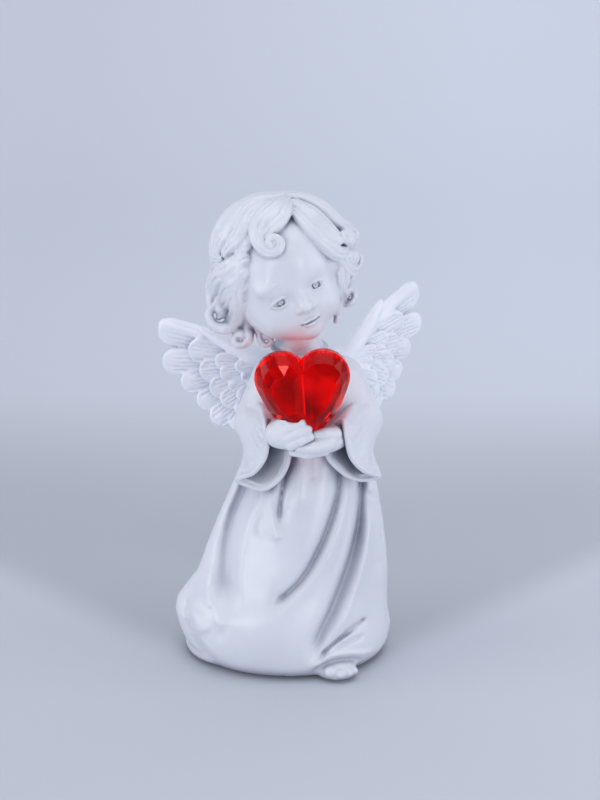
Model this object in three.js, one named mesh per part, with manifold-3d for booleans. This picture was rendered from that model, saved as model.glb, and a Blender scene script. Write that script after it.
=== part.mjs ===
// A cherub figurine in cast white resin: a gowned child with spread wings, who holds a faceted red heart in
// both hands. Body, head, wings and hands are separate castings, glued together. Millimetres, +Z up. The
// figure faces -Y, so its right side is at -X. The origin is on the underside of the pad that it stands on.
import * as THREE from "three";
import { ConvexGeometry } from "three/addons/geometries/ConvexGeometry.js";
import { mergeVertices } from "three/addons/utils/BufferGeometryUtils.js";
import Module from "manifold-3d";

const wasm = await Module();
wasm.setup();

// Driving dimensions.
const GLUE = 0.3; // the glue line left round every joint
const PAD = 1; // thickness of the foam pad under the base
const PAD_INSET = 2.5; // how far the pad stays inside the hem
const UNDERSIDE = PAD + GLUE; // height of the body casting's flat underside
const BODY_X = 7.4; // the torso stands this far beside the middle of the base
const NECK = { x: 4.6, y: -1.5, bottom: 94, top: 107, radius: 6 };
const DOWEL = { radius: 1.5, bottom: 86, top: 106 };
const HEAD = { at: [-1, -3.2, 121.6], nod: 6, lean: -24, turn: 17 }; // its middle, and its pose in degrees
const HEART = { at: [5.9, -21, 90.4], lean: -3.5, lobe: 8, lobeX: 6.2, lobeZ: 5.8, tip: -13.4, thick: 14 };
const HEART_SIDE = [[12.7, 0.8], [11.2, -3], [8.7, -6.8], [5.3, -10.4], [2.4, -12.7]]; // under each lobe, down to the tip
const BORE = 1.5; // radius of the heart's upright bore
const PIN = { radius: 1.1, bottom: -18, top: -1.5 }; // its ends lie this far from the heart's middle
const SLEEVE = { elbow: [16.2, 1.5, 76], radius: 7, wall: 1.1, solidShare: 0.4 };
// The open loop of a cuff, from its top down the front edge to the tip and back up the inner side. X is measured
// from the middle of the torso.
const CUFF = [
  [11.4, -19, 81.8],
  [11.7, -22, 77.4],
  [13.1, -21, 70],
  [17, -18.2, 64],
  [22.3, -13, 60.8],
  [17.5, -13.7, 59],
  [12.2, -15.7, 60],
  [7.6, -16.5, 65],
  [5.5, -16.3, 69.8],
  [6.3, -15.8, 75.7],
];
const WING = { blade: 1.8, rootX: 6, rootY: 12.8, rootZ: 91.2, tab: new THREE.Vector3(5, 10, 9) };
const WINGS = [
  { name: "right_wing", side: -1, sweep: 14, raise: 1, spur: { angle: 19, reach: 29 } },
  { name: "left_wing", side: 1, sweep: 44, raise: 13, spur: { angle: 27, reach: 25 } },
];
const HAIR = { at: [-0.2, -0.2, 126.2], radii: [19.8, 19, 19.8] };
// Locks over the front of the hair: rows of a place along X, a height and a radius. Each ends in a curl.
const LOCKS = [
  [[-1, 144, 2.4], [-9, 143, 3.6], [-15.5, 138, 4], [-18.4, 132, 3.4], [-19, 128, 2]],
  [[0, 143, 2.4], [-6, 141, 3.4], [-10.5, 136, 3.6], [-13, 131, 3.2], [-16, 128, 2]],
  [[1, 143, 2], [-3, 140, 2.8], [-6.4, 135, 2.6], [-6, 132, 2]],
  [[2, 144, 2.2], [8, 142.5, 3.4], [14, 137.5, 3.4], [17.4, 134, 2.4]],
  [[3, 142, 2], [9, 138, 3.2], [13.6, 133, 3.2], [17.4, 129, 2.2]],
  [[-13, 125, 2.6], [-16.4, 121.5, 3.4], [-18, 117.5, 2.6]],
  [[-12.4, 121, 2.6], [-14.4, 116, 3.4], [-15, 111, 3]],
  [[16.4, 124, 2.4], [17.2, 118, 2.2], [15.8, 112, 2]],
];
const CURLS = [
  [-19.6, 126.6, 2.8],
  [-18.4, 113, 2.8],
  [-17.6, 109.6, 4.2],
  [-4.4, 135.2, 2.9],
  [18.6, 134.6, 3.4],
  [19.2, 127.2, 3.4],
  [18.6, 121, 3],
  [17, 114.6, 2.8],
];
const ROUND = 14; // segments round a limb
const MERGE = 1e-3;
const SLACK = 0.12; // how far the head's surface may move when its small triangles are merged

// The gown and torso, from the hem to the neckline: height, half width, and the middle's place along X.
const GOWN = [
  [UNDERSIDE, 28.4, 1.3],
  [5, 30.8, 0.8],
  [10, 32.3, 0],
  [18.5, 31.8, -0.8],
  [22, 30.7, 0.5],
  [27, 29, 2.4],
  [35, 27.3, 3.6],
  [45, 24.9, 4.9],
  [55, 22, 6],
  [62, 19.4, 6.9],
  [70, 16.4, 7.5],
  [80, 14.6, 7.5],
  [90, 15, 7],
  [95, 13, 6.4],
  [98.5, 9.4, 5.6],
  [100.5, 7.4, 5],
];
const FOLDS = [
  { width: 5.5, along: [[23, 50], [22, 38], [19, 28], [15, 19], [11, 11]] },
  { width: 4.5, along: [[17, 54], [14, 42], [9, 29], [3, 20], [-3, 15]] },
  { width: 3.5, along: [[2.6, 58], [0.6, 50], [-0.6, 38]] },
  { width: 5, along: [[-12, 44], [-15.4, 34], [-18, 24], [-17, 16]] },
];
const BASE_DEPTH = 0.85; // the base's depth as a share of its width
const CHEST_DEPTH = 0.8;

const resin = new THREE.MeshStandardMaterial({ color: 0xe9ebf2, roughness: 0.55, metalness: 0 });
const acrylic = new THREE.MeshStandardMaterial({ color: 0xc80a0c, roughness: 0.05, metalness: 0 });
const steel = new THREE.MeshStandardMaterial({ color: 0xb8babd, roughness: 0.3, metalness: 1 });
const wood = new THREE.MeshStandardMaterial({ color: 0xcaa878, roughness: 0.7, metalness: 0 });
const foam = new THREE.MeshStandardMaterial({ color: 0x2b2c30, roughness: 0.95, metalness: 0 });

const vector = (x, y, z) => new THREE.Vector3(x, y, z);
const mix = THREE.MathUtils.lerp;
const radians = THREE.MathUtils.degToRad;

// A closed geometry as a manifold-3d solid, without the flat triangles at a lathe's poles.
function solid(geometry) {
  const bare = geometry.clone();
  bare.deleteAttribute("normal");
  bare.deleteAttribute("uv");
  const merged = mergeVertices(bare, MERGE);
  const corners = merged.index.array;
  const kept = [];
  for (let i = 0; i < corners.length; i += 3) {
    const [a, b, c] = corners.slice(i, i + 3);
    if (a !== b && b !== c && c !== a) kept.push(a, b, c);
  }
  const vertProperties = merged.attributes.position.array;
  return new wasm.Manifold(new wasm.Mesh({ numProp: 3, vertProperties, triVerts: new Uint32Array(kept) }));
}

function union(solids) {
  return solids.reduce((sum, each) => sum.add(each));
}

// The largest separate body of a solid.
function oneBody(body) {
  return body.decompose().sort((a, b) => b.volume() - a.volume())[0];
}

// A solid as a named mesh of the figurine.
function part(name, body, material) {
  const made = body.getMesh();
  const geometry = new THREE.BufferGeometry()
    .setAttribute("position", new THREE.BufferAttribute(new Float32Array(made.vertProperties), 3))
    .setIndex(new THREE.BufferAttribute(made.triVerts, 1));
  geometry.computeVertexNormals();
  const mesh = new THREE.Mesh(geometry, material);
  mesh.name = name;
  return mesh;
}

// Moves every vertex of a geometry by a function that changes the vector it is given.
function reshape(geometry, move) {
  const position = geometry.attributes.position;
  const point = vector(0, 0, 0);
  for (let i = 0; i < position.count; i++) {
    point.fromBufferAttribute(position, i);
    move(point);
    position.setXYZ(i, point.x, point.y, point.z);
  }
  return geometry;
}

// Turns a geometry made along +Y so that it starts at one point and runs towards another.
function aim(geometry, from, to) {
  const turn = new THREE.Quaternion().setFromUnitVectors(vector(0, 1, 0), to.clone().sub(from).normalize());
  return geometry.applyQuaternion(turn).translate(from.x, from.y, from.z);
}

// A rounded limb that tapers from one radius to another between two points.
function limb(from, to, start, end, segments = ROUND) {
  const length = from.distanceTo(to);
  const steps = segments > 8 ? 4 : 3;
  const arc = (radius, middle, first, last) =>
    Array.from({ length: steps }, (_, i) => {
      const angle = mix(first, last, i / (steps - 1));
      return new THREE.Vector2(Math.max(0, radius * Math.cos(angle)), middle + radius * Math.sin(angle));
    });
  const profile = [...arc(start, 0, -Math.PI / 2, 0), ...arc(end, length, 0, Math.PI / 2)];
  profile[0].x = 0;
  profile[profile.length - 1].x = 0;
  return solid(aim(new THREE.LatheGeometry(profile, segments), from, to));
}

// An ellipsoid, tilted to its side by an angle in degrees.
function blob(at, radii, tilt = 0, segments = ROUND) {
  const ball = new THREE.SphereGeometry(1, segments, Math.round(segments * 0.65)).rotateX(Math.PI / 2);
  return solid(ball.scale(radii.x, radii.y, radii.z).rotateY(radians(tilt)).translate(at.x, at.y, at.z));
}

function upright(x, y, bottom, top, radius) {
  const rod = new THREE.CylinderGeometry(radius, radius, top - bottom, ROUND).rotateX(Math.PI / 2);
  return solid(rod.translate(x, y, (bottom + top) / 2));
}

// Half width and middle of the gown at a height, between its stations.
function gownAt(z) {
  const above = Math.max(1, GOWN.findIndex((station) => station[0] >= z - MERGE));
  const [low, high] = [GOWN[above - 1], GOWN[above]];
  const share = (z - low[0]) / (high[0] - low[0]);
  return { half: mix(low[1], high[1], share), middle: mix(low[2], high[2], share) };
}

// Where a point on a circle of the gown's half width really lies: an oval, with soft folds that fade upwards.
function drape(point) {
  const angle = Math.atan2(point.y, point.x);
  const flare = THREE.MathUtils.smoothstep(70 - point.z, 0, 60);
  const folds = 1 - 0.02 * flare * (1 - Math.cos(6 * angle));
  const depth = mix(CHEST_DEPTH, BASE_DEPTH, flare);
  point.x = point.x * folds + gownAt(point.z).middle;
  point.y *= folds * depth;
}

// A groove pressed into the front of the gown, along points given by their place along X and their height. It
// is shallow at both ends.
function fold(points, width) {
  const spots = points.map(([x, z], i) => {
    const { half, middle } = gownAt(z);
    const flare = THREE.MathUtils.smoothstep(70 - z, 0, 60);
    const reach = Math.sqrt(half ** 2 - (x - middle) ** 2) * mix(CHEST_DEPTH, BASE_DEPTH, flare);
    const end = i === 0 || i === points.length - 1;
    return vector(x, -reach - width * (end ? 0.95 : 0.68), z);
  });
  return union(spots.slice(1).map((spot, i) => limb(spots[i], spot, width, width, 12)));
}

function gown() {
  const profile = GOWN.map(([z, half]) => new THREE.Vector2(half, z));
  const bottom = new THREE.Vector2(0, UNDERSIDE);
  const top = new THREE.Vector2(0, GOWN[GOWN.length - 1][0]);
  const turned = new THREE.LatheGeometry([bottom, ...profile, top], 36).rotateX(Math.PI / 2);
  const smooth = solid(reshape(turned, drape));
  return FOLDS.reduce((left, { width, along }) => left.subtract(fold(along, width)), smooth);
}

// A closed solid over a row of rings that have the same number of points.
function loft(rings) {
  const count = rings[0].length;
  const middle = (ring) => ring.reduce((sum, point) => sum.add(point), vector(0, 0, 0)).divideScalar(count);
  const points = [...rings.flat(), middle(rings[0]), middle(rings[rings.length - 1])];
  const corners = [];
  for (let k = 0; k < count; k++) {
    const next = (k + 1) % count;
    for (let row = 0; row + 1 < rings.length; row++) {
      const [a, b, up] = [row * count + k, row * count + next, count];
      corners.push(a, b + up, b, a, a + up, b + up);
    }
    const last = (rings.length - 1) * count;
    corners.push(next, points.length - 2, k, last + k, points.length - 1, last + next);
  }
  return solid(new THREE.BufferGeometry().setFromPoints(points).setIndex(corners));
}

// One arm in its sleeve: an upper arm, and a bell that hangs open from the elbow to the cuff's loop.
function sleeve(side) {
  const elbow = vector(...SLEEVE.elbow);
  const loop = new THREE.CatmullRomCurve3(CUFF.map((at) => vector(...at)), true, "catmullrom", 0.5).getPoints(24);
  const mouth = loop.slice(0, 24);
  const start = mouth.map((_, k) => {
    const angle = (k / 24) * 2 * Math.PI;
    return elbow.clone().add(vector(Math.sin(angle), 0, Math.cos(angle)).multiplyScalar(SLEEVE.radius));
  });
  const ring = (share, inset) => {
    const points = start.map((point, k) => point.clone().lerp(mouth[k], share));
    const core = points.reduce((sum, point) => sum.add(point), vector(0, 0, 0)).divideScalar(24);
    const bulge = 1 + 0.14 * Math.sin(Math.PI * share) * (1 - 0.5 * share);
    return points.map((point) => {
      const reach = point.distanceTo(core);
      return core.clone().lerp(point, bulge * (1 - Math.min(0.7, inset / reach)));
    });
  };
  const shares = [0, 1, 2, 3, 4, 5, 6].map((i) => i / 6);
  const outer = loft(shares.map((share) => ring(share, 0)));
  const hollow = shares.filter((share) => share > SLEEVE.solidShare).map((share) => ring(share, SLEEVE.wall));
  const ahead = vector(-0.3, -0.9, -0.6).multiplyScalar(3);
  hollow.push(hollow[hollow.length - 1].map((point) => point.clone().add(ahead)));
  const arm = limb(vector(11.4, 2.2, 90), elbow, 6.2, 7.2);
  const place = (body) => (side < 0 ? body.mirror([1, 0, 0]) : body).translate([BODY_X, 0, 0]);
  return { outside: place(arm.add(outer)), inside: place(loft(hollow)) };
}

function foot() {
  return limb(vector(15.5, -17, 6), vector(17.6, -24.6, 4.9), 4.6, 3.5);
}

// The finger roots and tips of one hand, a palm and a wrist. Grown by a gap, it clears its neighbours.
function hand(side, grow = 0) {
  const wrist = side < 0 ? vector(-6, -5, 77) : vector(21, -5, 74.6);
  const palm = side < 0 ? vector(-0.6, -21, 76.6) : vector(13, -19.5, 73);
  const root = side < 0 ? vector(1, -24, 76) : vector(9.8, -20, 72.5);
  const tip = side < 0 ? vector(2.8, -28.2, 83.6) : vector(2.6, -16.5, 71.6);
  const across = side < 0 ? vector(1.9, 0.35, -1.5) : vector(0.5, -2.7, 0.5);
  const fingers = Array.from({ length: 4 }, (_, i) => {
    const from = root.clone().addScaledVector(across, i * 0.6);
    const to = tip.clone().addScaledVector(across, i);
    return limb(from, to, 2 + grow, 1.5 + grow, 8);
  });
  return union([limb(wrist, palm, 3.4 + grow, 4.2 + grow), ...fingers]);
}

// One lobe of the heart as a cut stone: a girdle round its outline, then inset rings that rise to a table.
function lobe(side) {
  const { lobe: radius, lobeX, lobeZ, tip, thick } = HEART;
  const first = Math.PI - Math.acos(lobeX / radius);
  const last = -Math.acos((HEART_SIDE[0][0] - lobeX) / radius);
  const middle = vector(lobeX * 0.82, 0, lobeZ * 0.45);
  const ring = (count, inset, depth) => {
    const points = Array.from({ length: count }, (_, i) => {
      const angle = mix(first, last, i / count);
      return vector(lobeX + radius * Math.cos(angle), 0, lobeZ + radius * Math.sin(angle));
    });
    const below = HEART_SIDE.filter((_, i) => count > 9 || i % 2 === 0).map(([x, z]) => vector(x, 0, z));
    return [...points, ...below, vector(0, 0, tip)].flatMap((point) => {
      const drawn = point.lerp(middle, inset);
      return [vector(drawn.x, depth, drawn.z), vector(drawn.x, -depth, drawn.z)];
    });
  };
  const ridge = thick * 0.4;
  const spine = [lobeZ + 2.6, tip + 5].flatMap((z) => [vector(0, ridge, z), vector(0, -ridge, z)]);
  const cut = [...ring(14, 0, 1.2), ...ring(6, 0.24, thick * 0.37), ...ring(4, 0.5, thick / 2), ...spine];
  return solid(new ConvexGeometry(cut.map((point) => vector(point.x * side, point.y, point.z))));
}

// The heart about its own middle. Both lobes reach a little past it, so that they join into one stone.
function heart(scale = 1) {
  const joint = solid(new THREE.BoxGeometry(0.4, HEART.thick * 0.7, 17).translate(0, 0, -1.4));
  const stone = union([lobe(-1), lobe(1), joint]);
  const bored = scale === 1 ? stone.subtract(upright(0, 0, -20, 20, BORE)) : stone.scale([scale, scale, scale]);
  return bored.rotate([0, HEART.lean, 0]);
}

// A place on the front of the hair.
function onHair(x, z) {
  const [middle, radii] = [HAIR.at, HAIR.radii];
  const share = 1 - ((x - middle[0]) / radii[0]) ** 2 - ((z - middle[2]) / radii[2]) ** 2;
  return vector(x, middle[1] - radii[1] * Math.sqrt(Math.max(0, share)), z);
}

// A lock of hair through a row of places with a radius each.
function strand(row) {
  return union(row.slice(1).map((to, i) => limb(row[i].at, to.at, row[i].radius, to.radius, 7)));
}

// One curl of hair: a ring that faces the front, with a bead in its middle.
function ringlet([x, z, radius]) {
  const at = onHair(x, z);
  const ring = new THREE.TorusGeometry(radius * 0.66, radius * 0.4, 5, 11).rotateX(Math.PI / 2);
  const bead = blob(at, vector(radius * 0.4, radius * 0.7, radius * 0.4), 0, 8);
  return solid(ring.translate(at.x, at.y, at.z)).add(bead);
}

// A lock that falls down the back of the head, at an angle round it.
function backLock(angle, bend) {
  const [x, y, z] = HAIR.at;
  const rows = [[34, 3], [72, 4.8], [106, 5.2], [132, 3.4]].map(([down, radius], i) => {
    const [polar, round] = [radians(down), radians(angle + (i % 2 ? bend : -bend))];
    const reach = vector(HAIR.radii[0], HAIR.radii[1], HAIR.radii[2]);
    const out = vector(Math.sin(polar) * Math.cos(round), Math.sin(polar) * Math.sin(round), Math.cos(polar));
    return { at: out.multiply(reach).add(vector(x, y, z)), radius };
  });
  return strand(rows);
}

// The hair as a cap that leaves the face free, with waves on top and curls round its edge.
function hair() {
  const cap = blob(vector(...HAIR.at), vector(...HAIR.radii), 0, 24);
  const window = blob(vector(2.4, -21, 115.5), vector(12.8, 15.5, 17.5), -25, 20);
  const waves = LOCKS.map((row) => strand(row.map(([x, z, radius]) => ({ at: onHair(x, z), radius }))));
  const back = Array.from({ length: 9 }, (_, i) => backLock(-6 + 24 * i, i % 3 ? 4 : -5));
  const ends = [vector(-12.4, -9.4, 103.4), vector(-5.2, -9.6, 104.4)].map((at, i) => {
    const ring = new THREE.TorusGeometry(1.9 - 0.3 * i, 1.15, 5, 11).rotateX(Math.PI / 2);
    const link = limb(vector(at.x * 0.9, -6, 112), vector(at.x - 0.6, -9, 105.4), 2.6, 1.3, 8);
    return solid(ring.translate(at.x, at.y, at.z)).add(link);
  });
  return union([cap.subtract(window), ...waves, ...back, ...CURLS.map(ringlet), ...ends]);
}

// An eye in its lids: a ball inside a slightly larger one with an almond-shaped opening.
function eye(side) {
  const at = vector(side * 5.7, -13.3, -1.6);
  const lids = blob(at, vector(3.5, 3.3, 3.1), 0, 14);
  const opening = blob(vector(at.x, at.y - 3, at.z), vector(2.9, 3, 1.35), 0, 14);
  return lids.subtract(opening).add(blob(at, vector(2.8, 2.9, 2.6), 0, 12));
}

// A calm child's face about the middle of the head, looking along -Y.
function face() {
  const skull = blob(vector(0, 1, 1), vector(16.2, 17.2, 17.6), 0, 20);
  const cheeks = blob(vector(0, -5.4, -6), vector(13.6, 12.4, 12), 0, 20);
  const chin = blob(vector(0, -10.4, -14), vector(4.4, 4.6, 3.8), 0, 12);
  const bridge = limb(vector(0, -15.8, -0.4), vector(0, -18.3, -5.4), 0.9, 1.5, 10);
  const nostrils = [-1, 1].map((side) => blob(vector(side * 1.6, -17.7, -5.9), vector(1.1, 1.2, 0.9), 0, 8));
  const lip = (side) => blob(vector(side * 1.1, -17.3, -9.6), vector(1.7, 1.1, 0.7), side * -10, 10);
  const lower = blob(vector(0, -17.1, -10.9), vector(1.9, 1.1, 0.8), 0, 10);
  return union([skull, cheeks, chin, bridge, ...nostrils, lip(-1), lip(1), lower, eye(-1), eye(1)]);
}

function head() {
  const pose = new THREE.Euler(radians(HEAD.nod), radians(HEAD.lean), radians(HEAD.turn), "YZX");
  const place = new THREE.Matrix4().makeRotationFromEuler(pose).setPosition(...HEAD.at);
  const neck = upright(NECK.x, NECK.y, NECK.bottom, NECK.top, NECK.radius);
  const hole = upright(NECK.x, NECK.y, NECK.bottom - 1, DOWEL.top + GLUE, DOWEL.radius + GLUE);
  return oneBody(union([hair(), face().transform(place.elements), neck]).subtract(hole).simplify(SLACK));
}

// One flat feather that runs out from the wing's root at an angle, in the wing's own plane.
function feather(side, angle, length, width, lift) {
  const outline = new THREE.Shape();
  outline.moveTo(0, -width * 0.3);
  outline.lineTo(length - width * 0.55, -width / 2);
  outline.absarc(length - width / 2, 0, width / 2, -Math.PI / 2, Math.PI / 2, false);
  outline.lineTo(0, width * 0.3);
  const flat = { depth: WING.blade, bevelEnabled: false, curveSegments: 4 };
  const blade = new THREE.ExtrudeGeometry(outline, flat);
  blade.rotateZ(radians(side < 0 ? 180 - angle : angle)).translate(0, 0, lift);
  return solid(blade.rotateX(Math.PI / 2));
}

// A wing about its root, without its tab. It spreads along X, and its short feathers lie on its -Y face.
function wing({ side, spur }) {
  const rows = [
    { count: 7, first: 11, last: -57, long: 42.4, short: 28, width: 9.4, lift: 0 },
    { count: 5, first: 3, last: -52, long: 28, short: 21, width: 8.6, lift: 1.1 },
    { count: 4, first: 0, last: -48, long: 19, short: 15, width: 7.6, lift: 2.2 },
  ];
  const blades = rows.flatMap(({ count, first, last, long, short, width, lift }) =>
    Array.from({ length: count }, (_, i) => {
      const share = i / (count - 1);
      return feather(side, mix(first, last, share), mix(long, short, Math.sqrt(share)), width, lift);
    }),
  );
  const out = (angle, reach, y) =>
    vector(side * reach * Math.cos(radians(angle)), y, reach * Math.sin(radians(angle)));
  const bone = limb(out(20, 4, -1.2), out(14, 39.6, -0.9), 2.8, 2, 8);
  const point = limb(out(10, 5, -2.6), out(spur.angle, spur.reach, -2.4), 3.4, 1.1, 8);
  return union([...blades, bone, point]);
}

// The tab at a wing's root, which is glued into a slot in the back.
function wingTab(side, grow) {
  const { x, y, z } = WING.tab;
  const box = new THREE.BoxGeometry(x + 2 * grow, y + 2 * grow, z + 2 * grow);
  return solid(box.translate(side * 2.5, -y / 2, 0));
}

// Puts a wing's solid where it stands: its root on the back, raised, then swept to the rear.
function mount(body, { side, sweep, raise }) {
  const turn = new THREE.Euler(0, radians(-side * raise), radians(side * sweep), "ZYX");
  const place = new THREE.Matrix4().compose(
    vector(BODY_X + side * WING.rootX, WING.rootY, WING.rootZ),
    new THREE.Quaternion().setFromEuler(turn),
    vector(1, 1, 1),
  );
  return body.transform(place.elements);
}

// The gown, torso, sleeves and foot as one solid, before anything is cut away.
function bodyBlank(sleeves) {
  return union([gown(), foot(), ...sleeves.map(({ outside }) => outside)]);
}

// The body casting, cut away for what is glued into it.
function body(blank, sleeves, hands) {
  const socket = upright(NECK.x, NECK.y, NECK.bottom - GLUE, NECK.top, NECK.radius + GLUE);
  const dowel = upright(NECK.x, NECK.y, DOWEL.bottom - GLUE, NECK.top, DOWEL.radius + GLUE);
  const slots = WINGS.map((each) => mount(wingTab(each.side, GLUE), each));
  const below = solid(new THREE.BoxGeometry(120, 120, 20).translate(0, 0, UNDERSIDE - 10));
  return [...sleeves.map(({ inside }) => inside), socket, dowel, ...slots, ...hands, below]
    .reduce((left, cut) => left.subtract(cut), blank);
}

// The foam pad, cut to the shape of the hem and set back from it.
function pad() {
  const outline = new THREE.Shape();
  const reach = GOWN[0][1] - PAD_INSET;
  outline.absellipse(GOWN[0][2], 0, reach, reach * BASE_DEPTH, 0, 2 * Math.PI, false, 0);
  return solid(new THREE.ExtrudeGeometry(outline, { depth: PAD, bevelEnabled: false, curveSegments: 24 }));
}

const figurine = new THREE.Group();
figurine.name = "cherub_figurine";

const sleeves = [sleeve(-1), sleeve(1)];
const blank = bodyBlank(sleeves);
const [x, y, z] = HEART.at;
const heartRoom = heart(1 + (2 * GLUE) / HEART.thick).translate([x, y, z]);
const pin = (grow) =>
  upright(0, 0, PIN.bottom - grow, PIN.top, PIN.radius + grow).rotate([0, HEART.lean, 0]).translate([x, y, z]);
const pinRoom = pin(GLUE);
const rightHand = hand(-1).subtract(heartRoom).subtract(hand(1, GLUE)).subtract(pinRoom);
const leftHand = hand(1).subtract(heartRoom).subtract(pinRoom);

figurine.add(part("base_pad", pad(), foam));
figurine.add(part("gown_body", body(blank, sleeves, [hand(-1, GLUE), hand(1, GLUE)]), resin));
figurine.add(part("head", head(), resin));
figurine.add(part("neck_dowel", upright(NECK.x, NECK.y, DOWEL.bottom, DOWEL.top, DOWEL.radius), wood));
figurine.add(part("right_hand", rightHand, resin));
figurine.add(part("left_hand", leftHand, resin));
figurine.add(part("heart_pin", pin(0), steel));

const stone = part("heart", heart(), acrylic);
stone.position.set(x, y, z);
figurine.add(stone);

const behind = blank.translate([0, GLUE, 0]);
for (const each of WINGS) {
  const spread = mount(wing(each), each).subtract(behind);
  figurine.add(part(each.name, spread.add(mount(wingTab(each.side, 0), each)), resin));
}

export default figurine;
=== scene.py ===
"""The looks of the cherub figurine. Each resin casting is modelled in clay on a grid, then skinned.
The heart, its pin, the dowel and the pad are the CAD's own. Lengths are in millimetres until a piece
is skinned."""

import math

import bpy
import numpy as np
import openvdb
from mathutils import Euler, Matrix, Vector


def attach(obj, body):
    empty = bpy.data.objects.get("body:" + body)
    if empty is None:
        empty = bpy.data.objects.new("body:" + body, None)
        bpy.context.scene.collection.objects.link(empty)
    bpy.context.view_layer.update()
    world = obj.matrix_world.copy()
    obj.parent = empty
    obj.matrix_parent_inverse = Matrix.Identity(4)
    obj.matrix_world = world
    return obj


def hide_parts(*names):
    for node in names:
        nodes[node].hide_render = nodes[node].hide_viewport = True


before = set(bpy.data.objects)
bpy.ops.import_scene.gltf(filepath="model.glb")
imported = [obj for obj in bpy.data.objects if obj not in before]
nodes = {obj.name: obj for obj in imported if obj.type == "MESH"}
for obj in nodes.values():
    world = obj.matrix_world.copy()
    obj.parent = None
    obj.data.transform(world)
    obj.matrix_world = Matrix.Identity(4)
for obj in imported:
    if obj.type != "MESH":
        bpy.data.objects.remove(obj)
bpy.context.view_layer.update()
FAR = 6.0  # the distance that a grid starts with, in millimetres
MM = 0.001
LOOK = 0.306  # how much a millimetre of depth raises a point in the picture


# ---------------------------------------------------------------- clay


def join(a, b, blend):
    if blend <= 0:
        return np.minimum(a, b)
    near = np.maximum(blend - np.abs(a - b), 0)
    return np.minimum(a, b) - near * near / (4 * blend)


def carve(a, b, blend):
    if blend <= 0:
        return np.maximum(a, -b)
    near = np.maximum(blend - np.abs(a + b), 0)
    return np.maximum(a, -b) + near * near / (4 * blend)


def smooth(low, high, x):
    t = np.clip((x - low) / (high - low), 0, 1)
    return t * t * (3 - 2 * t)


class Clay:
    """A signed distance in millimetres on a grid."""

    def __init__(self, low, high, step):
        self.step = step * 1.0
        self.low = np.array(low, float)
        size = np.ceil((np.array(high, float) - self.low) / self.step).astype(int) + 1
        self.d = np.full(size, FAR, np.float32)

    def patch(self, low, high):
        size = np.array(self.d.shape)
        first = np.clip(np.floor((np.array(low) - self.low) / self.step).astype(int), 0, size)
        last = np.clip(np.ceil((np.array(high) - self.low) / self.step).astype(int) + 1, 0, size)
        where = tuple(slice(a, b) for a, b in zip(first, last))
        x, y, z = ((self.low[i] + self.step * np.arange(first[i], last[i])).astype(np.float32) for i in range(3))
        return where, (x[:, None, None], y[None, :, None], z[None, None, :])

    def heights(self):
        return (self.low[2] + self.step * np.arange(self.d.shape[2]))[None, None, :]

    def work(self, shape, blend, how):
        low, high, distance = shape
        reach = blend + 2.5 * self.step
        where, (x, y, z) = self.patch(np.array(low) - reach, np.array(high) + reach)
        if 0 in self.d[where].shape:
            return
        self.d[where] = how(self.d[where], distance(x, y, z), blend)

    def solid(self, points, quads, tris=()):
        """The distance to a closed mesh, on this clay's own grid."""
        places = ((np.array(points, float) - self.low) / self.step).astype(np.float32)
        quads, tris = np.array(quads, np.uint32).reshape(-1, 4), np.array(tris, np.uint32).reshape(-1, 3)
        wide = 4 + int(2.5 / self.step)
        make = openvdb.FloatGrid.createLevelSetFromPolygons
        grid = make(places, triangles=tris, quads=quads, halfWidth=wide)
        d = np.empty(self.d.shape, np.float32)
        grid.copyToArray(d)
        return d * np.float32(self.step)

    def add(self, shape, blend=0.0):
        self.work(shape, blend, join)

    def cut(self, shape, blend=0.0):
        self.work(shape, blend, carve)

    def press(self, points, width, depth, front=0.0):
        """A groove (or with a negative depth a ridge) along a curve of (x, height seen from the front)."""
        rows = curve(points, 4)
        reach = 2.6 * width
        low, high = rows.min(0) - reach, rows.max(0) + reach
        where, (x, y, z) = self.patch((low[0], -40, low[1] - 2), (high[0], front + 2, high[1] + 12))
        if 0 in self.d[where].shape:
            return
        distance, share = path_distance(x, z + LOOK * y, points)
        fade = smooth(0, 0.2, share) * smooth(1, 0.8, share) * smooth(front + 2, front - 2, y)
        self.d[where] += (depth * np.exp(-((distance / width) ** 1.6)) * fade).astype(np.float32)

    def skin(self, name, adaptivity=0.0):
        """Turns the clay into a smooth-shaded mesh object in metres."""
        grid = openvdb.FloatGrid(FAR)
        grid.copyFromArray(np.ascontiguousarray(self.d))
        points, tris, quads = grid.convertToPolygons(0.0, adaptivity)
        points = (points.astype(np.float64) * self.step + self.low) * MM
        faces = [tuple(f[::-1]) for f in tris.tolist()] + [tuple(f[::-1]) for f in quads.tolist()]
        mesh = bpy.data.meshes.new(name)
        mesh.from_pydata(points.tolist(), [], faces)
        mesh.validate()
        mesh.update()
        mesh.shade_smooth()
        made = bpy.data.objects.new(name, mesh)
        bpy.context.scene.collection.objects.link(made)
        return made


# ---------------------------------------------------------------- shapes


def unit(v):
    v = np.array(v, float)
    return v / max(np.linalg.norm(v), 1e-9)


def ball(at, radii, turn=None):
    """An ellipsoid about a point, turned by a matrix."""
    at = np.array(at, float)
    r = np.full(3, radii, float) if np.isscalar(radii) else np.array(radii, float)
    m = np.eye(3) if turn is None else np.array(turn.to_3x3())
    reach = np.sqrt((m**2) @ r**2)

    def distance(x, y, z):
        p = (x - at[0], y - at[1], z - at[2])
        q = [p[0] * m[0, i] + p[1] * m[1, i] + p[2] * m[2, i] for i in range(3)]
        near = np.sqrt(sum((c / s) ** 2 for c, s in zip(q, r)))
        slope = np.sqrt(sum((c / s**2) ** 2 for c, s in zip(q, r)))
        return (near * (near - 1) / np.maximum(slope, 1e-4)).astype(np.float32)

    return at - reach, at + reach, distance


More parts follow.
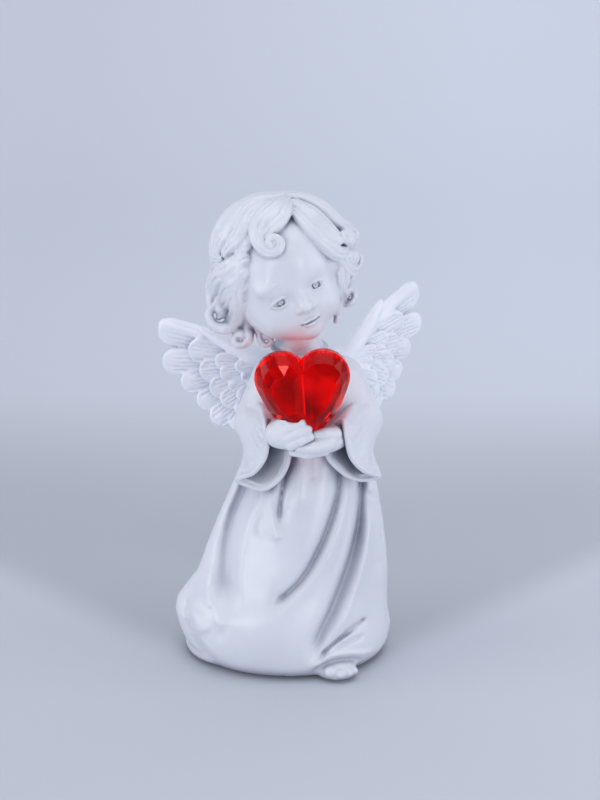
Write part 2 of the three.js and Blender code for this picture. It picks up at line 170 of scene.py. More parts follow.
def limb(a, b, start, end):
    a, b = np.array(a, float), np.array(b, float)
    along = b - a
    length = max(along @ along, 1e-9)
    most = max(start, end)

    def distance(x, y, z):
        p = (x - a[0], y - a[1], z - a[2])
        t = np.clip((p[0] * along[0] + p[1] * along[1] + p[2] * along[2]) / length, 0, 1)
        q = [p[i] - t * along[i] for i in range(3)]
        return np.sqrt(q[0] ** 2 + q[1] ** 2 + q[2] ** 2) - (start + (end - start) * t)

    return np.minimum(a, b) - most, np.maximum(a, b) + most, distance


def curve(points, steps):
    """A smooth curve through rows of numbers (place, and any sizes that go with it)."""
    p = np.array(points, float)
    p = np.vstack([2 * p[0] - p[1], p, 2 * p[-1] - p[-2]])
    rows = []
    for i in range(1, len(p) - 2):
        for t in np.arange(steps) / steps:
            rows.append(
                0.5
                * (
                    2 * p[i]
                    + (p[i + 1] - p[i - 1]) * t
                    + (2 * p[i - 1] - 5 * p[i] + 4 * p[i + 1] - p[i + 2]) * t**2
                    + (3 * p[i] - p[i - 1] - 3 * p[i + 1] + p[i + 2]) * t**3
                )
            )
    rows.append(p[-2])
    return np.array(rows)


def lock(points, outward, flat=0.6, strands=3, groove=0.3):
    """A lock of hair along points (x, y, z, radius): an oval rope with grooves that run along its outer side.
    outward gives the direction that its flat side faces, as a function of a place."""
    rows = curve(points, 4)
    spots, sizes = rows[:, :3], np.maximum(rows[:, 3], 0.15)
    most = sizes.max() + groove
    low, high = spots.min(0) - most, spots.max(0) + most

    def distance(x, y, z):
        shape = np.broadcast_shapes(x.shape, y.shape, z.shape)
        d = np.full(shape, FAR, np.float32)
        xs, ys, zs = x.ravel(), y.ravel(), z.ravel()
        for i in range(len(spots) - 1):
            a, b = spots[i], spots[i + 1]
            along = b - a
            length = along @ along
            if length < 1e-9:
                continue
            face = unit(outward((a + b) / 2))
            t_dir = along / math.sqrt(length)
            face = unit(face - t_dir * (face @ t_dir))
            side = np.cross(t_dir, face)
            r0, r1 = sizes[i], sizes[i + 1]
            reach = max(r0, r1) + 1.2
            lo, hi = np.minimum(a, b) - reach, np.maximum(a, b) + reach
            w = tuple(
                slice(np.searchsorted(axis, start), np.searchsorted(axis, end))
                for axis, start, end in zip((xs, ys, zs), lo, hi)
            )
            if any(s.stop <= s.start for s in w):
                continue
            p = (x[w[0]] - a[0], y[:, w[1]] - a[1], z[:, :, w[2]] - a[2])
            t = np.clip((p[0] * along[0] + p[1] * along[1] + p[2] * along[2]) / length, 0, 1)
            q = [p[k] - t * along[k] for k in range(3)]
            r = r0 + (r1 - r0) * t
            u = q[0] * side[0] + q[1] * side[1] + q[2] * side[2]
            v = q[0] * face[0] + q[1] * face[1] + q[2] * face[2]
            e = q[0] * t_dir[0] + q[1] * t_dir[1] + q[2] * t_dir[2]
            h = r * flat
            near = np.sqrt((u / r) ** 2 + (v / h) ** 2 + (e / r) ** 2)
            slope = np.sqrt((u / r**2) ** 2 + (v / h**2) ** 2 + (e / r**2) ** 2)
            one = near * (near - 1) / np.maximum(slope, 1e-4)
            if strands:
                drift = np.sin(0.5 * (a[2] + t * along[2]) + 0.35 * (a[0] + t * along[0]))
                ridge = np.abs(np.cos(math.pi * strands * (np.clip(u / r, -1, 1) + 0.22 * drift) / 2))
                uneven = groove * (0.75 + 0.4 * drift * np.sign(u))
                one = one + uneven * (1 - ridge) * np.clip(r / 2, 0.2, 1) * np.clip(v / h + 0.6, 0, 1)
            d[w] = np.minimum(d[w], one)
        return d

    return low, high, distance


# ---------------------------------------------------------------- head

NOD, LEAN, TURN = math.radians(6), math.radians(-24), math.radians(17)
HEAD = Matrix.Translation((-1.0, -3.2, 121.6)) @ Euler((NOD, LEAN, TURN), "XZY").to_matrix().to_4x4()
HAIR_AT = np.array([-0.2, -0.4, 125.8])  # the middle and the radii of the hair's body
HAIR = np.array([19.8, 18.8, 19.8])
HEAD_GRID = (-28, -29, 92), (28, 25, 151), 0.25  # lowest and highest corner, and the step
EYE, EYE_UP = 5.9, -1.6  # an eye's place across and up from the middle of the head


def on_head(p):
    return np.array(HEAD @ Vector(p))


def from_head(p):
    return (np.array(p) - HAIR_AT) / HAIR**2


def seen(x, w, out=0.0):
    """The place on the hair's front that shows at x and at height w, standing out by a distance."""
    a, b, c = HAIR + out
    cx, cy, cz = HAIR_AT
    aa = 1 / b**2 + LOOK**2 / c**2
    bb = -2 * cy / b**2 - 2 * LOOK * (w - cz) / c**2
    cc = cy**2 / b**2 + (w - cz) ** 2 / c**2 + ((x - cx) / a) ** 2 - 1
    y = (-bb - math.sqrt(max(bb * bb - 4 * aa * cc, 0))) / (2 * aa)
    return [x, y, w - LOOK * y]


def round_head(polar, turn, out=0.0):
    """A place on the hair by its angle from the crown and its angle round the head, 90 at the back."""
    a, b = math.radians(polar), math.radians(turn)
    d = np.array([math.sin(a) * math.cos(b), math.sin(a) * math.sin(b), math.cos(a)])
    return list(HAIR_AT + (HAIR + out) * d)


# Locks that the front shows, each a row of (x, height, how far it stands out, radius).
FRONT_LOCKS = [
    # the big wave over the figure's right temple
    [(-1, 146.0, 0.2, 2.2), (-8, 145.2, 0.4, 3.4), (-15.2, 140.4, 0.6, 4.2), (-19.2, 134.4, 0.8, 3.8),
     (-20.6, 129.8, 1, 2.8), (-20.6, 127, 1.2, 1.8), (-18.6, 126.2, 1.5, 1.2)],
    [(-1, 145, 0.4, 2.2), (-8, 143.4, 0.9, 3.4), (-13.6, 137.8, 1.1, 3.8), (-17.2, 132.4, 1.3, 3.2),
     (-19.2, 128.8, 1.4, 2.0)],
    [(-0.6, 143.8, 0.5, 2.0), (-6.6, 141.6, 0.9, 3.0), (-10.8, 136.6, 1.2, 3.4), (-13.6, 131.6, 1.3, 3.0),
     (-17, 128, 1.3, 1.8)],
    [(-8.6, 136, 0.2, 2.2), (-10, 131.6, 0.2, 2.6), (-12.6, 128.2, 0.4, 2.0)],
    # the forelock, which ends in a curl on the forehead
    [(0.6, 144.4, 0.6, 2.0), (-3, 141.4, 1.2, 3.2), (-6.2, 136.8, 1.6, 3.4), (-7.4, 132.6, 1.8, 2.8),
     (-6.4, 129, 2.0, 2.1),
     (-3.9, 127.2, 2.2, 1.8), (-1.4, 128.2, 2.4, 1.6), (-0.9, 130.6, 2.6, 1.4), (-2.7, 132, 2.8, 1.2),
     (-4.3, 130.6, 3.0, 1.1), (-3.4, 129.3, 3.1, 0.9)],
    [(1.6, 143.6, 0.6, 1.8), (-0.2, 139.8, 1.0, 2.8), (-2.6, 136, 1.4, 2.8), (-4.8, 133, 1.7, 2.2)],
    # the figure's left side, from the parting to the curls at the temple
    [(2.2, 145.4, 0.2, 2.0), (6.4, 144.8, 0.6, 3.2), (11, 141.8, 1.0, 3.8), (14.8, 138.6, 1.4, 3.2),
     (17.6, 137, 1.8, 2.5),
     (20.2, 136.4, 2.0, 1.9), (21.8, 134.2, 2.2, 1.6), (20.6, 131.8, 2.4, 1.5), (18.4, 131.8, 2.6, 1.3),
     (17.6, 133.8, 2.8, 1.2), (19.2, 134.8, 2.9, 1.0)],
    [(3.6, 143.2, 0.4, 2.2), (8, 139.6, 0.9, 3.4), (12.4, 135.4, 1.2, 3.2), (15.8, 132.4, 1.4, 2.4)],
    [(2.4, 141.6, 0, 1.6), (5.4, 138, 0.4, 2.4), (8.8, 134, 0.8, 3.0), (12.2, 130.4, 0.9, 3.0),
     (15.6, 127.8, 1.0, 2.6), (18.4, 128, 1.2, 2.2)],
    [(17, 126.4, 0.6, 2.4), (19.4, 123.6, 1.0, 2.4), (22, 124, 1.2, 1.8), (23, 126.8, 1.5, 1.5),
     (21.6, 129, 1.8, 1.4), (19.8, 127.8, 2, 1.2), (20.4, 126, 2.2, 1.1), (21.4, 126.8, 2.4, 0.9)],
    [(17.4, 124, 0.2, 2.2), (18.4, 120.6, 0.4, 2.2), (18, 117.6, 0.6, 1.8)],
    [(16.8, 122, 0, 1.8), (17.2, 118, 0.2, 1.8), (18, 114, 0.4, 1.6), (20, 113, 0.6, 1.4),
     (21.4, 115, 0.9, 1.3), (20.4, 117.2, 1.2, 1.2), (18.8, 116.4, 1.5, 1.0), (19.6, 115.2, 1.7, 0.8)],
    [(16.6, 116, -0.6, 1.6), (16.6, 111, -0.9, 1.5), (15.8, 107.6, -1, 1.2)],
    # the middle wave on the figure's right side
    [(-11.6, 125.6, 0.2, 2.6), (-15.4, 123.2, 0.6, 3.6), (-19.2, 120.4, 0.9, 3.4), (-21.6, 116.8, 1.1, 2.6),
     (-22.2, 113.6, 1.2, 1.8)],
    [(-11.8, 121.8, 0.1, 2.6), (-14.8, 118.8, 0.5, 3.4), (-18.4, 115.8, 0.8, 3.0), (-20.6, 113, 1, 2.0)],
    [(-18.8, 125.2, 0.4, 2.2), (-20.8, 122.4, 0.7, 2.4), (-22.2, 118.8, 0.9, 2.0)],
    [(-12, 117.8, 0, 2.4), (-14.4, 115, 0.4, 3.0), (-17.2, 112.8, 0.8, 2.6)],
    [(-11.8, 127.6, 0.6, 1.6), (-13.0, 123.2, 0.9, 2.1), (-13.4, 118.2, 1.0, 2.3), (-13.1, 113.2, 1.0, 2.3),
     (-13.2, 109.6, 0.9, 2.0)],
    # the large curl beside the cheek
    [(-13, 116, 0.2, 3.0), (-13.6, 111.6, 0.6, 3.2), (-14.6, 107.6, 0.9, 3.0), (-17.6, 105.2, 1.1, 2.7),
     (-21, 106, 1.3, 2.3), (-22.6, 109, 1.5, 2.0), (-21.4, 112, 1.8, 1.8), (-18.8, 112, 2.1, 1.6),
     (-17.8, 109.8, 2.4, 1.4), (-19.4, 108.6, 2.6, 1.2)],
    # small curls under the jaw
    [(-11, 112, 0, 2.6), (-11, 107.4, 0.2, 2.4), (-10.4, 103.4, 0.4, 2.0), (-11.4, 100.4, 0.6, 1.7),
     (-13.8, 99.8, 0.8, 1.5),
     (-15, 101.8, 1, 1.3), (-13.8, 103.6, 1.3, 1.2), (-12.3, 102.6, 1.5, 1.0), (-12.9, 101.5, 1.7, 0.8)],
    [(-9, 108, -0.4, 2.0), (-7.6, 104, -0.2, 1.6), (-6.9, 101, 0.1, 1.4), (-5.2, 99.8, 0.3, 1.2),
     (-3.8, 101.2, 0.5, 1.1), (-4.8, 102.9, 0.8, 1.0), (-6, 101.8, 1, 0.8)],
]


def back_locks(rng):
    """Rows of locks that cover the sides and back, each row ending in curls."""
    locks = []
    tiers = ((8, 74, 11, 3.5), (50, 100, 13, 3.2), (80, 128, 12, 3.0), (104, 142, 9, 2.8))
    for top, bottom, count, size in tiers:
        for i in range(count):
            turn = -12 + 204 * (i + 0.5 + 0.3 * (rng.random() - 0.5)) / count
            sway, phase = 5 + 3 * rng.random(), 6.28 * rng.random()
            row = []
            for t in np.linspace(0, 1, 6):
                polar = top + (bottom - top) * t
                wave = sway * math.sin(phase + 4 * t) * min(1, 3 * t)
                r = size * (0.62 + 0.5 * math.sin(math.pi * min(1, t * 0.9 + 0.05))) * (1 - 0.35 * t)
                row.append(round_head(polar, turn + wave, 0.3 + 0.9 * t) + [r])
            # the curl at its end turns to one side, in the plane of the hair
            way = 1 if rng.random() < 0.5 else -1
            for k, t in enumerate(np.linspace(0.25, 1, 5)):
                angle = t * 4.4
                reach = 3.4 * (1 - 0.55 * t)
                polar = bottom + reach * 2.6 * math.sin(angle) * 0.9
                side = turn + wave + way * (3.4 - reach * math.cos(angle)) * 2.6
                row.append(round_head(polar, side, 1.2 + 0.7 * t) + [size * (0.52 - 0.07 * k)])
            locks.append(row)
    return locks


def sculpt_head():
    clay = Clay(*HEAD_GRID)
    turn = HEAD.to_3x3()

    def spot(at, radii, blend=0.0, cut=False):
        (clay.cut if cut else clay.add)(ball(on_head(at), radii, turn), blend)

    def rod(a, b, r0, r1, blend=0.0):
        clay.add(limb(on_head(a), on_head(b), r0, r1), blend)

    # a calm, generic child's face on a smooth skull
    spot((0, 1, 1), (16.2, 17.2, 17.6))
    spot((0, -5.2, -5.6), (13.6, 12.2, 11.8), 4)
    spot((3.4, -3.4, 6.0), (13.4, 14.4, 13.4), 4)
    for s in (-1, 1):
        spot((s * 6.6, -10.4, -8.0), (5.4, 5.2, 5.0), 4)
        spot((s * 5.6, -13.2, 3.4), (5.0, 2.6, 1.8), 3)
    spot((0, -12.2, -14.0), (3.8, 3.4, 3.2), 3)
    for s in (-1, 1):
        spot((s * EYE, -18.8, -1.5), (3.9, 3.0, 2.5), 2.0, cut=True)
    rod((0, -14.6, 1.4), (0, -18.0, -4.8), 1.1, 1.6, 1.8)
    spot((0, -18.5, -5.4), (1.75, 1.6, 1.5), 1.0)
    for s in (-1, 1):
        spot((s * 1.9, -17.2, -5.9), (1.15, 1.3, 1.0), 0.7)
    for s in (-1, 1):
        spot((s * 0.95, -18.0, -7.0), (0.55, 0.7, 0.5), 0.3, cut=True)
        spot((s * EYE, -12.6, EYE_UP), (3.3, 3.0, 3.0), 0.2)
    for s in (-1, 1):
        # each lid is a ridge over the eyeball, and the two meet at its corners
        for height, size in ((1.5, 0.62), (-1.15, 0.42)):
            edge = []
            for k in range(9):
                u = -2.9 + 5.8 * k / 8
                v = height * (1 - (u / 2.95) ** 2) ** 0.8
                bulge = math.sqrt(max(0.05, 1 - (u / 3.4) ** 2 - (v / 3.0) ** 2))
                edge.append((s * (EYE + u), -13.2 - 3.0 * bulge, EYE_UP + v))
            for a, b in zip(edge, edge[1:]):
                rod(a, b, size, size, 0.25)
        # an incised iris with a pupil
        middle = np.array((s * EYE, -15.75, -1.5))
        for k in range(18):
            a = 2 * math.pi * k / 18
            spot(middle + (1.1 * math.cos(a), 0.2, 1.1 * math.sin(a)), (0.2, 0.55, 0.2), 0.1, cut=True)
        spot(middle, (0.36, 0.5, 0.36), 0.1, cut=True)
    # brows
    for s in (-1, 1):
        for k in range(7):
            t = k / 6
            a = (s * (3.0 + 5.6 * t), -16.0 + 2.8 * t**2, 2.9 + 1.3 * math.sin(math.pi * (0.25 + 0.55 * t)))
            spot(a, (1.0, 0.6, 0.36), 0.5)
    # closed lips
    for s in (-1, 1):
        spot((s * 1.2, -16.3, -9.8), (1.8, 1.4, 0.8), 0.5)
    spot((0, -16.1, -11.3), (2.0, 1.4, 0.95), 0.5)
    for k in range(9):
        x = -2.6 + 0.65 * k
        spot((x, -17.3 + 0.16 * x * x, -10.6), (0.5, 0.8, 0.2), 0.15, cut=True)
    spot((0, -17.6, -8.2), (0.5, 0.6, 0.9), 0.4, cut=True)
    spot((0, -17.0, -13.0), (2.6, 1.0, 0.7), 0.8, cut=True)
    # the neck goes down into the collar
    clay.add(limb((4.6, -1.5, 97), (4.2, -2.5, 106), 5.9, 6.0), 2.5)
    clay.cut(ball((4.6, -1.5, 90), (13, 13, 4.2)), 0.0)

    # the hair's body, open at the face
    hair = Clay(*HEAD_GRID)
    hair.add(ball(HAIR_AT + (0, 0.8, 0), HAIR - 0.3))
    for s in (-1, 1):
        hair.add(limb((0.2 + s * 12, 1, 117), (0.2 + s * 10.6, 2, 111), 5.8, 4.2), 3)
    hair.add(limb((-7, 6.5, 113), (7, 6.5, 113), 6.2, 6.2), 3)
    hair.cut(ball(on_head((1.2, -19, -4)), (15.2, 17, 22.5), turn), 1.0)
    clay.d = join(clay.d, hair.d, 0.3)
    # the hairline at the figure's left temple
    edge = [(4.6, 139.0), (8.2, 134.4), (11.6, 130.2), (14.0, 126.4), (15.4, 121.6), (16.2, 116.6)]
    edge = [seen(x, w, -2.3) for x, w in edge + [(15.6, 111.4)]]
    for a, b in zip(edge, edge[1:]):
        clay.add(limb(a, b, 2.3, 2.3), 2.2)
    rng = np.random.default_rng(5)
    for row in back_locks(rng):
        clay.add(lock(row, from_head, groove=0.5), 0.3)
    for row in FRONT_LOCKS:
        points = [seen(x, w, out) + [r] for x, w, out, r in row]
        strands = 2 if max(r for *_, r in row) < 2.7 else 3
        clay.add(lock(points, from_head, 0.72, strands, 0.5), 0.2)
        if len(row) > 7 or row[-1][3] < 0.9:
            # a curl is closed at its back
            coil = np.array([p[:3] for p in points[-5:]])
            middle = coil.mean(axis=0)
            inward = unit(HAIR_AT - middle)
            size = np.linalg.norm(coil - middle, axis=1).mean()
            size += 0.3 if middle[0] < 0 else -0.3
            clay.add(ball(middle + inward * 1.7, (size, size, size)), 0.3)
    return clay.skin("head_sculpt", 0.06)


# ---------------------------------------------------------------- gown

PAD = 1.3  # the pad's thickness, under the hem
# height, half width, middle along X
GOWN = np.array([
    (1.3, 29.6, 1.3), (3, 31.2, 1.0), (6, 32.6, 0.5), (10, 33.7, 0.0), (15, 33.8, -0.9), (18.5, 33.4, -0.7),
    (22, 32.2, 0.6), (27, 30.3, 2.5), (35, 28.6, 3.7), (45, 26.1, 4.9), (55, 22.9, 6.1), (62, 20.2, 6.9),
    (70, 16.8, 7.5), (78, 14.8, 7.6), (86, 14.4, 7.4), (91, 13.6, 6.9), (95, 11.4, 6.0), (98, 8.8, 5.2),
    (100, 7.4, 4.8), (104, 6.2, 4.6),
])
# Folds on the front: depth, half width, how sharp, and points along them of (x, height seen from the front).
FOLDS = [
    (4.0, 2.2, 1.6, [(23.6, 60), (23.4, 53.7), (22.9, 41.5), (20.8, 31.7), (18.5, 24.3), (14.9, 14.6),
                     (10.3, 4.8), (7.4, -3)]),
    (3.3, 1.5, 1.2, [(16.9, 63), (16.9, 57.4), (16.0, 50), (13.6, 41.5), (10.1, 32.9), (5.6, 24.9),
                     (-0.3, 18.8), (-3.8, 17)]),
    (2.6, 1.0, 1.1, [(3.2, 67), (2.3, 62.9), (0.3, 57.4), (-0.85, 50), (-1.7, 41.7)]),
    (3.8, 3.2, 2.0, [(-9.6, 57), (-11.6, 51.3), (-15.0, 42.7), (-17.0, 32.9), (-17.4, 23.1), (-16.2, 14)]),
    (0.9, 1.2, 1.5, [(20.2, 58), (20.2, 51), (19.6, 44), (18.2, 37), (16, 30), (13, 22)]),
    (0.9, 0.9, 1.3, [(9.4, 68), (9.0, 62), (9.0, 56)]),
    (0.8, 1.5, 1.6, [(-4.4, 57), (-4.8, 52), (-6.6, 45), (-8.6, 38)]),
    (0.8, 1.6, 1.6, [(-23, 17), (-21.6, 11), (-18.6, 5)]),
    (1.1, 2.0, 1.8, [(26.1, 54), (27.6, 42.7), (28.4, 32.9), (28.2, 25)]),
    (1.5, 0.8, 1.2, [(26, 12), (21, 9), (15.4, 4), (9.1, -2.6)]),
]
RIDGES = [
    (1.1, 1.2, [(-3.4, 50), (-3.2, 45), (-2.4, 40.5), (-1.4, 37.6)]),
    (1.2, 1.8, [(19.4, 57), (18.4, 50), (16.2, 41), (12.6, 32), (7.8, 24.4), (1.6, 17.4), (-3, 14.6)]),
    (1.6, 1.7, [(26.4, 52), (26.0, 41), (24.2, 31), (21.6, 22), (18.2, 13), (14.4, 5)]),
    (1.1, 2.2, [(-8, 52), (-11.6, 43), (-13.4, 33), (-13.6, 23), (-12, 15)]),
    (1.0, 2.2, [(-22.6, 30), (-23.4, 22), (-21.4, 14), (-17.8, 8)]),
    (0.9, 2.2, [(-29, 20), (-27, 13), (-23.4, 7)]),
    (0.8, 1.2, [(5.6, 64), (5.2, 57), (4.4, 48)]),
]


def path_distance(px, pz, points):
    """Distance in the picture's plane to a curve, and how far along it (0 to 1) the nearest place is."""
    rows = curve(points, 5)
    best = np.full(np.broadcast_shapes(px.shape, pz.shape), 1e3, np.float32)
    share = np.zeros_like(best)
    n = len(rows) - 1
    for i in range(n):
        a, b = rows[i], rows[i + 1]
        ab = b - a
        t = np.clip(((px - a[0]) * ab[0] + (pz - a[1]) * ab[1]) / max(ab @ ab, 1e-9), 0, 1)
        d = np.hypot(px - a[0] - t * ab[0], pz - a[1] - t * ab[1])
        closer = d < best
        best = np.where(closer, d, best)
        share = np.where(closer, (i + t) / n, share)
    return best, share


def sculpt_gown():
    clay = Clay((-37, -33, 0.2), (36.5, 30, 105), 0.4)
    where, (x, y, z) = clay.patch((-40, -40, -5), (40, 40, 110))
    half, middle = np.interp(z, GOWN[:, 0], GOWN[:, 1]), np.interp(z, GOWN[:, 0], GOWN[:, 2])
    deep = np.interp(z, [0, 20, 50, 66, 80, 96, 104], [0.85, 0.84, 0.8, 0.8, 0.8, 0.82, 0.98])
    lean = np.interp(z, [0, 60, 80, 104], [0, 0, 0.5, -1.5])
    u, v = (x - middle) / half, (y - lean) / (half * deep)
    rho = np.sqrt(u * u + v * v)
    angle = np.arctan2(v, u)
    size = half * np.sqrt(deep)
    # gentle folds all round, weaker at the front, where the drawn ones are
    loose = smooth(72, 25, z)
    back = smooth(-0.25, 0.5, v / np.maximum(rho, 1e-3))
    folds = 0.5 + 0.5 * np.cos(9 * angle + 1.1 * np.sin(z / 17) + 0.6)
    folds = folds**1.6
    push = -(0.35 + 1.5 * back) * loose * (1 - folds) * (0.35 + 0.65 * smooth(0, 16, z))
    front = smooth(0.25, -0.25, v / np.maximum(rho, 1e-3))
    # the picture's height of each place on the front surface
    fx = x[:, :, 0]
    sheet_z = z[0]
    bow = np.sqrt(np.clip(1 - ((fx[:, :1] - middle[0]) / half[0]) ** 2, 0.02, 1))
    w = sheet_z + LOOK * (-(half * deep)[0] * bow)
    drawn = np.zeros(w.shape, np.float32)
    for depth, width, power, points in FOLDS:
        d, t = path_distance(fx[:, :1], w, points)
        fade = smooth(0, 0.14, t) * smooth(1, 0.84, t)
        drawn -= depth * np.exp(-((d / width) ** power)) * fade
    for height, width, points in RIDGES:
        d, t = path_distance(fx[:, :1], w, points)
        drawn += height * np.exp(-((d / width) ** 2)) * smooth(0, 0.2, t) * smooth(1, 0.8, t)
    push = push + drawn[:, None, :] * front
    clay.d[where] = ((rho - 1) * size * 0.95 - push).astype(np.float32)

    # the second layer of hem that shows under the first on the figure's right
    clay.add(ball((-16, 2, 2.6), (15.6, 20.4, 5.0)), 0.6)
    # the foot under the hem and its toes
    clay.add(ball((16.2, -22.0, 2.2), (6.2, 6.0, 4.2)), 1.5)
    toes = [
        ((13.8, -22, 3.2), (14.3, -26.2, 3.3), 2.2), ((16.7, -22, 3.0), (17.4, -27.2, 3.0), 1.65),
        ((18.7, -21.6, 2.9), (19.7, -26.0, 2.9), 1.5), ((20.2, -21, 2.7), (21.4, -24.2, 2.7), 1.35),
    ]
    for a, b, r in toes:
        clay.add(limb(a, b, r, r), 0.25)
    # the hem lies over the foot, with creases that run to it
    clay.press([(6.4, -4.6), (10.6, -1.6), (15.0, 0.6), (20.0, 1.0), (25.0, 0.6), (29.0, 1.4)], 1.0, -1.0)
    clay.press([(8.0, -5.4), (11.4, -3.0), (15.4, -1.4), (20.0, -1.2), (24.6, -1.8)], 0.7, 0.7)
    clay.press([(11.0, 0.8), (14.0, 3.2), (17.6, 6.2), (23.0, 9.8)], 0.8, 1.0)
    clay.press([(14.0, 1.6), (17.4, 3.4), (21.0, 5.2), (25.4, 6.6)], 0.7, 0.8)
    clay.press([(12.4, 0.8), (16.4, 4.6), (22.0, 8.0)], 0.9, -0.9)

    # at the figure's right the front of the hem stands over the flare behind it
    flare = [(-30.6, 19), (-30.2, 14.6), (-29.3, 9.4), (-27.2, 4.8), (-24.4, 0.6), (-20.6, -2.6)]
    clay.press(flare, 1.1, 1.3, front=10)
    clay.press([(-28.6, 17), (-28.0, 11), (-25.8, 6), (-22.6, 1.8), (-18, -2)], 1.3, -0.7, front=6)

    # arms in their sleeves
    clay.add(limb((-3.8, 2.2, 89.8), (-8.4, 1.2, 75.4), 6.0, 7.0), 3.0)
    clay.add(limb((18.4, 2.2, 89.6), (23.4, 1.2, 76.0), 6.0, 7.0), 3.0)
    clay.add(ball((7.2, 1.2, 92.2), (11.6, 9.8, 6.2)), 3)
    # the neckline
    turns = [2 * math.pi * k / 20 for k in range(21)]
    rim = [(4.7 + 8.2 * math.cos(t), -1.2 + 7.6 * math.sin(t), 99.3 + 0.9 * math.sin(t)) for t in turns]
    for here, there in zip(rim, rim[1:]):
        clay.add(limb(here, there, 1.0, 1.0), 0.8)
    clay.d = np.maximum(clay.d, (PAD - clay.heights()).astype(np.float32))
    return clay


# The open loops of the two sleeves, from the top round the outer side.
CUFFS = [
    [(-5.2, -19.0, 82.0), (-4.9, -22.0, 77.6), (-5.6, -21.2, 71.2), (-9.2, -18.4, 65.2), (-14.2, -13.0, 61.2),
     (-10.2, -14.0, 59.4), (-5.8, -16.0, 59.2), (-1.2, -16.8, 63.0), (1.4, -16.6, 69.0), (0.6, -16.4, 76.4)],
    [(17.6, -19.0, 81.6), (18.6, -22.0, 78.0), (20.2, -21.0, 71.2), (24.1, -18.2, 65.8), (29.0, -13.0, 62.2),
     (24.3, -14.0, 61.5), (19.6, -15.8, 63.3), (15.2, -16.6, 67.2), (13.0, -16.4, 71.0), (13.6, -16.2, 76.6)],
]


def ring(points, count):
    """A closed smooth curve through points, as evenly numbered places."""
    p = np.array(points, float)
    n = len(p)
    out = []
    for k in range(count):
        f = k * n / count
        i, t = int(f), f - int(f)
        a, b, c, d = p[(i - 1) % n], p[i % n], p[(i + 1) % n], p[(i + 2) % n]
        square, cube = 2 * a - 5 * b + 4 * c - d, 3 * b - a - 3 * c + d
        out.append(0.5 * (2 * b + (c - a) * t + square * t**2 + cube * t**3))
    return np.array(out)


def tube_mesh(rings):
    """A closed mesh over a row of rings, with a flat lid at both ends."""
    n = len(rings[0])
    points = [p for each in rings for p in each]
    quads = [
        (r * n + k, r * n + (k + 1) % n, (r + 1) * n + (k + 1) % n, (r + 1) * n + k)
        for r in range(len(rings) - 1)
        for k in range(n)
    ]
    tris = []
    for r, flip in ((0, True), (len(rings) - 1, False)):
        points.append(np.mean(rings[r], axis=0))
        middle = len(points) - 1
        for k in range(n):
            pair = (r * n + k, r * n + (k + 1) % n)
            tris.append((*(pair[::-1] if flip else pair), middle))
    return points, quads, tris


def sleeve(clay, side, elbow, cuff, wrist):
    """A hanging sleeve: a shell from the elbow to the open loop of its cuff."""
    count, last, open_from = 60, 12, 0.4  # points round a ring, the last ring, and where the hollow starts
    elbow, wrist = np.array(elbow, float), np.array(wrist, float)
    ahead = unit(wrist - elbow)
    out = unit(np.cross(ahead, (0, 0, 1))) * -side
    mouth = ring(cuff, count)
    turns = np.linspace(0, 2 * math.pi, count, endpoint=False)
    start = np.array([elbow + 7.0 * (math.cos(t) * np.array((0, 0, 1)) + math.sin(t) * out) for t in turns])
    outer, inner = [], []
    for k in range(last + 1):
        s = k / last
        loop = start * (1 - s) + mouth * s
        core = loop.mean(axis=0)
        loop = core + (loop - core) * (1 + 0.13 * math.sin(math.pi * s) * (1 - 0.6 * s))
        outside = np.clip(side * (loop[:, 0] - core[0]) / 8, 0, 1)
        loop[:, 0] -= side * 2.0 * math.sin(math.pi * min(1, s * 1.1)) * outside
        outer.append(loop)
        if s >= open_from:
            toward = core - loop
            length = np.linalg.norm(toward, axis=1, keepdims=True)
            wall = (1.35 + 2.6 * (1 - s)) * np.maximum(1, length / np.median(length)) ** 2
            inner.append(loop + toward / length * np.minimum(wall, 0.6 * length))
    points, quads, tris = tube_mesh(inner)
    clay.d = carve(clay.d, clay.solid(points, quads, tris), 0.3)
    points, quads, tris = tube_mesh(outer + inner[::-1])
    clay.d = join(clay.d, clay.solid(points, quads, tris), 0.8)
    # a rounded rim, and solid keels along the pointed corner and the front edge
    for k in range(count):
        clay.add(limb(mouth[k], mouth[(k + 1) % count], 0.65, 0.65), 0.6)
    corner = 4 * count // len(cuff)
    for off in (-20, -17, -14, -11, -8, -5, -2, 0, 2, 5):
        keel = []
        for loop in outer[6:] if off == 0 else outer[6:-2]:
            at = loop[(corner + off) % count]
            keel.append(at + 1.3 * unit(loop.mean(axis=0) - at))
        for a, b in zip(keel, keel[1:]):
            clay.add(limb(a, b, 1.05, 1.05), 0.8)


# ---------------------------------------------------------------- hands


def turned(y, z=0):
    return Euler((0, math.radians(y), math.radians(z))).to_matrix()


def finger(clay, points, sizes, blend):
    for a, b, r0, r1 in zip(points, points[1:], sizes, sizes[1:]):
        clay.add(limb(a, b, r0, r1), blend)


